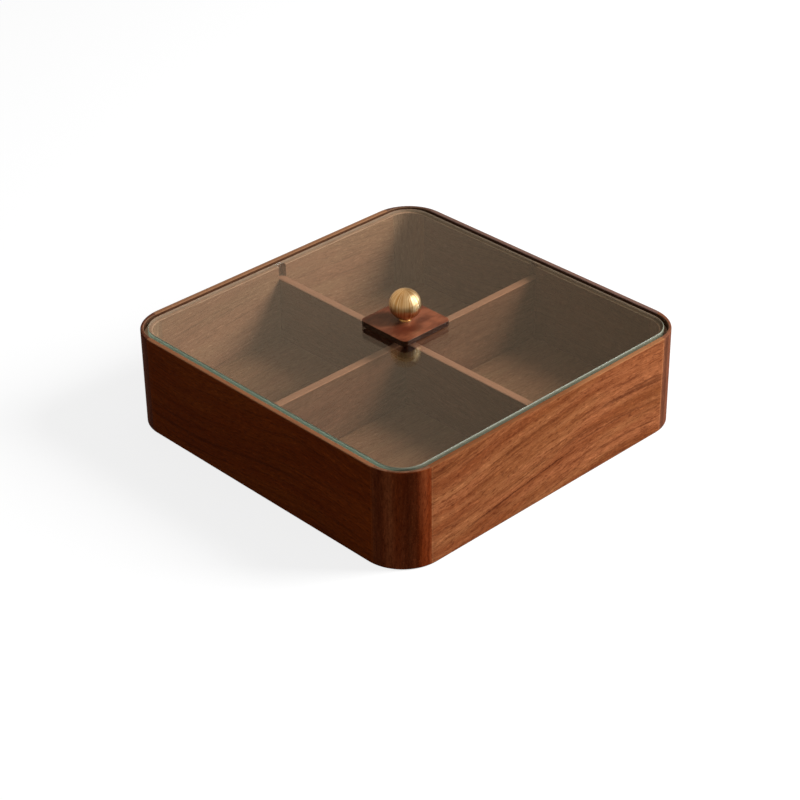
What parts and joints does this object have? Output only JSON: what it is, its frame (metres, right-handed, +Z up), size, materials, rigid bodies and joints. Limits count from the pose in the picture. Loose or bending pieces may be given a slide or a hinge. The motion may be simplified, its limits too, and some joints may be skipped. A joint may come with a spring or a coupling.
{
  "type": "dried fruit box",
  "caption": "Low square wooden box with rounded corners and crossing dividers, under a loose clear glass lid lifted by a brass ball knob on a small square wooden plate.",
  "frame": {"origin": "middle of the footprint, on the surface that the box stands on", "axes": "+Z up, +X and +Y square to the walls; the panels that face -X and -Y meet at the front corner of the picture"},
  "size_m": [0.26, 0.26, 0.0963],
  "materials": {
    "panel_wood": "satin oiled hardwood, grain along the wall",
    "post_wood": "satin oiled hardwood, grain upright",
    "tongue_wood": "sawn hardwood",
    "base_wood": "satin veneered board",
    "divider_wood": "satin oiled hardwood, grain along the board",
    "foot_rubber": "matte translucent",
    "lid_glass": "polished, green at the edge",
    "gasket_rubber": "clear silicone",
    "sleeve_plastic": "natural",
    "plate_wood": "satin top, dark edges",
    "knob_brass": "fine brushed",
    "screw_steel": "zinc plated"
  },
  "bodies": {
    "box": {"front_left_panel": "panel_wood", "front_right_panel": "panel_wood", "back_left_panel": "panel_wood", "back_right_panel": "panel_wood", "left_corner_post": "post_wood", "front_corner_post": "post_wood", "right_corner_post": "post_wood", "back_corner_post": "post_wood", "corner_tongues": "tongue_wood", "base_panel": "base_wood", "left_foot_pad": "foot_rubber", "front_foot_pad": "foot_rubber", "right_foot_pad": "foot_rubber", "back_foot_pad": "foot_rubber"},
    "lower_divider": {"lower_divider": "divider_wood"},
    "upper_divider": {"upper_divider": "divider_wood"},
    "lid": {"glass_panel": "lid_glass", "upper_gasket": "gasket_rubber", "lower_gasket": "gasket_rubber", "hole_sleeve": "sleeve_plastic", "knob_plate": "plate_wood", "ball_knob": "knob_brass", "knob_screw": "screw_steel", "screw_washer": "screw_steel"}
  },
  "joints": [
    {"name": "lower_divider_lift", "type": "slide", "parent": "box", "child": "lower_divider", "axis": [0, 0, 1], "range_m": [0, 0.066]},
    {"name": "upper_divider_lift", "type": "slide", "parent": "lower_divider", "child": "upper_divider", "axis": [0, 0, 1], "range_m": [0, 0.066]},
    {"name": "lid_lift", "type": "slide", "parent": "upper_divider", "child": "lid", "axis": [0, 0, 1], "range_m": [0, 0.1]}
  ]
}
